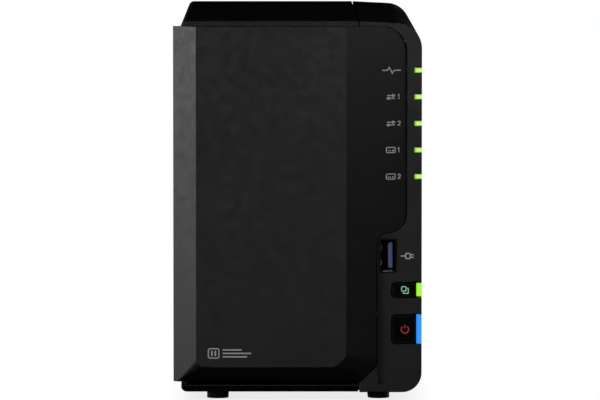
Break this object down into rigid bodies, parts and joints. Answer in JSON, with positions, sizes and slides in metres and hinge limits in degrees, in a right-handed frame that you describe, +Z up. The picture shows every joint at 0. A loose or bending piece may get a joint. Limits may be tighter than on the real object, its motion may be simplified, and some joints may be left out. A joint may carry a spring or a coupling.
{
  "type": "nas enclosure",
  "caption": "Desktop storage enclosure for drives standing on edge, with a faceted pull-off front cover, slide-out trays, front port and buttons, light pipes and a rear fan.",
  "frame": {"origin": "on the ground under the middle of the bounding box", "axes": "+Z up, +Y towards the back, +X to the right seen from the front; the front cover faces -Y"},
  "size_m": [0.108, 0.2322, 0.165],
  "materials": {
    "shell_plastic": "fine spark-eroded texture",
    "fascia_plastic": "fine spark-eroded texture",
    "cover_plastic": "fine texture, satin",
    "frame_plastic": "smooth moulded",
    "panel_steel": "black powder coat",
    "cage_steel": "galvanised sheet",
    "foot_rubber": "matt",
    "grommet_rubber": "matt",
    "guide_plastic": "smooth moulded",
    "tray_plastic": "smooth moulded",
    "handle_plastic": "satin",
    "strip_plastic": "smooth moulded",
    "button_plastic": "satin",
    "status_lens": "clear light pipe, lit",
    "copy_lens": "clear light pipe, lit",
    "power_lens": "clear light pipe, lit",
    "circuit_board": "solder mask",
    "chip_plastic": "moulded package",
    "socket_plastic": "moulded",
    "metal_lid": "satin",
    "capacitor_can": "satin",
    "connector_shell": "tin plate",
    "usb_insulator": "moulded",
    "led_package": "diffuse",
    "ribbon_film": "flat cable",
    "cell_steel": "satin",
    "screw_steel": "black zinc",
    "pin_steel": "polished",
    "bearing_bronze": "sintered",
    "winding_copper": "enamelled wire",
    "fan_plastic": "smooth moulded",
    "reset_plastic": "moulded",
    "wire_sleeve": "sleeved wires"
  },
  "bodies": {
    "chassis": {"left_shell": "shell_plastic", "right_shell": "fascia_plastic", "front_frame": "frame_plastic", "rear_panel": "panel_steel", "feet": "foot_rubber", "cage_left_wall": "cage_steel", "cage_middle_wall": "cage_steel", "cage_right_wall": "cage_steel", "cage_top_plate": "cage_steel", "cage_bottom_plate": "cage_steel", "tray_guides": "guide_plastic", "cover_grommets": "grommet_rubber", "status_light_pipes": "status_lens", "copy_light_bar": "copy_lens", "power_light_bar": "power_lens", "button_switches": "chip_plastic", "front_board": "circuit_board", "indicator_leds": "led_package", "usb_shells": "connector_shell", "usb_tongues": "usb_insulator", "front_ribbon": "ribbon_film", "mainboard": "circuit_board", "processor": "metal_lid", "heatsink": "metal_lid", "memory_socket": "socket_plastic", "board_chips": "chip_plastic", "board_capacitors": "capacitor_can", "coin_cell": "cell_steel", "coin_cell_holder": "socket_plastic", "lan_jacks": "connector_shell", "power_inlet": "socket_plastic", "power_inlet_pin": "pin_steel", "reset_switch": "socket_plastic", "backplane": "circuit_board", "backplane_slot": "socket_plastic", "drive_connectors": "socket_plastic", "fan_frame": "fan_plastic", "fan_bearing": "bearing_bronze", "fan_stator": "winding_copper", "fan_screws": "screw_steel", "fan_leads": "wire_sleeve", "case_screws": "screw_steel", "board_screws": "pin_steel"},
    "front_cover": {"front_cover": "cover_plastic"},
    "tray_1": {"tray_1_frame": "tray_plastic", "tray_1_hinge_pin": "pin_steel", "tray_1_fastening_panels": "strip_plastic"},
    "tray_1_handle": {"tray_1_handle": "handle_plastic"},
    "tray_2": {"tray_2_frame": "tray_plastic", "tray_2_hinge_pin": "pin_steel", "tray_2_fastening_panels": "strip_plastic"},
    "tray_2_handle": {"tray_2_handle": "handle_plastic"},
    "copy_button": {"copy_button": "button_plastic"},
    "power_button": {"power_button": "button_plastic"},
    "reset_button": {"reset_plunger": "reset_plastic"},
    "fan_impeller": {"fan_rotor": "fan_plastic", "fan_shaft": "pin_steel"}
  },
  "joints": [
    {"name": "cover_slide", "type": "slide", "parent": "chassis", "child": "front_cover", "axis": [0, -1, 0], "range_m": [0, 0.36]},
    {"name": "tray_1_slide", "type": "slide", "parent": "chassis", "child": "tray_1", "axis": [0, -1, 0], "range_m": [0, 0.2]},
    {"name": "tray_2_slide", "type": "slide", "parent": "chassis", "child": "tray_2", "axis": [0, -1, 0], "range_m": [0, 0.2]},
    {"name": "tray_1_handle_hinge", "type": "hinge", "parent": "tray_1", "child": "tray_1_handle", "pos_m": [-0.0295, -0.1056, 0.038], "axis": [1, 0, 0], "range_deg": [0, 60]},
    {"name": "tray_2_handle_hinge", "type": "hinge", "parent": "tray_2", "child": "tray_2_handle", "pos_m": [0.0066, -0.1056, 0.038], "axis": [1, 0, 0], "range_deg": [0, 60]},
    {"name": "power_button_press", "type": "slide", "parent": "chassis", "child": "power_button", "axis": [0, 1, 0], "range_m": [0, 0.0008], "stiffness_N_per_m": 300, "springref_m": -0.001},
    {"name": "copy_button_press", "type": "slide", "parent": "chassis", "child": "copy_button", "axis": [0, 1, 0], "range_m": [0, 0.0008], "stiffness_N_per_m": 300, "springref_m": -0.001},
    {"name": "reset_press", "type": "slide", "parent": "chassis", "child": "reset_button", "axis": [0, -1, 0], "range_m": [0, 0.0005], "stiffness_N_per_m": 200, "springref_m": -0.001},
    {"name": "fan_spin", "type": "hinge", "parent": "chassis", "child": "fan_impeller", "pos_m": [-0.0022, 0.1, 0.1156], "axis": [0, 1, 0], "continuous": true}
  ],
  "couplings": [
    {"joint": "tray_1_slide", "follows": "cover_slide", "ratio": 0.55},
    {"joint": "tray_2_slide", "follows": "cover_slide", "ratio": 0.55},
    {"joint": "tray_1_handle_hinge", "follows": "cover_slide", "rad_per_m": 2.9},
    {"joint": "tray_2_handle_hinge", "follows": "cover_slide", "rad_per_m": 2.9}
  ]
}
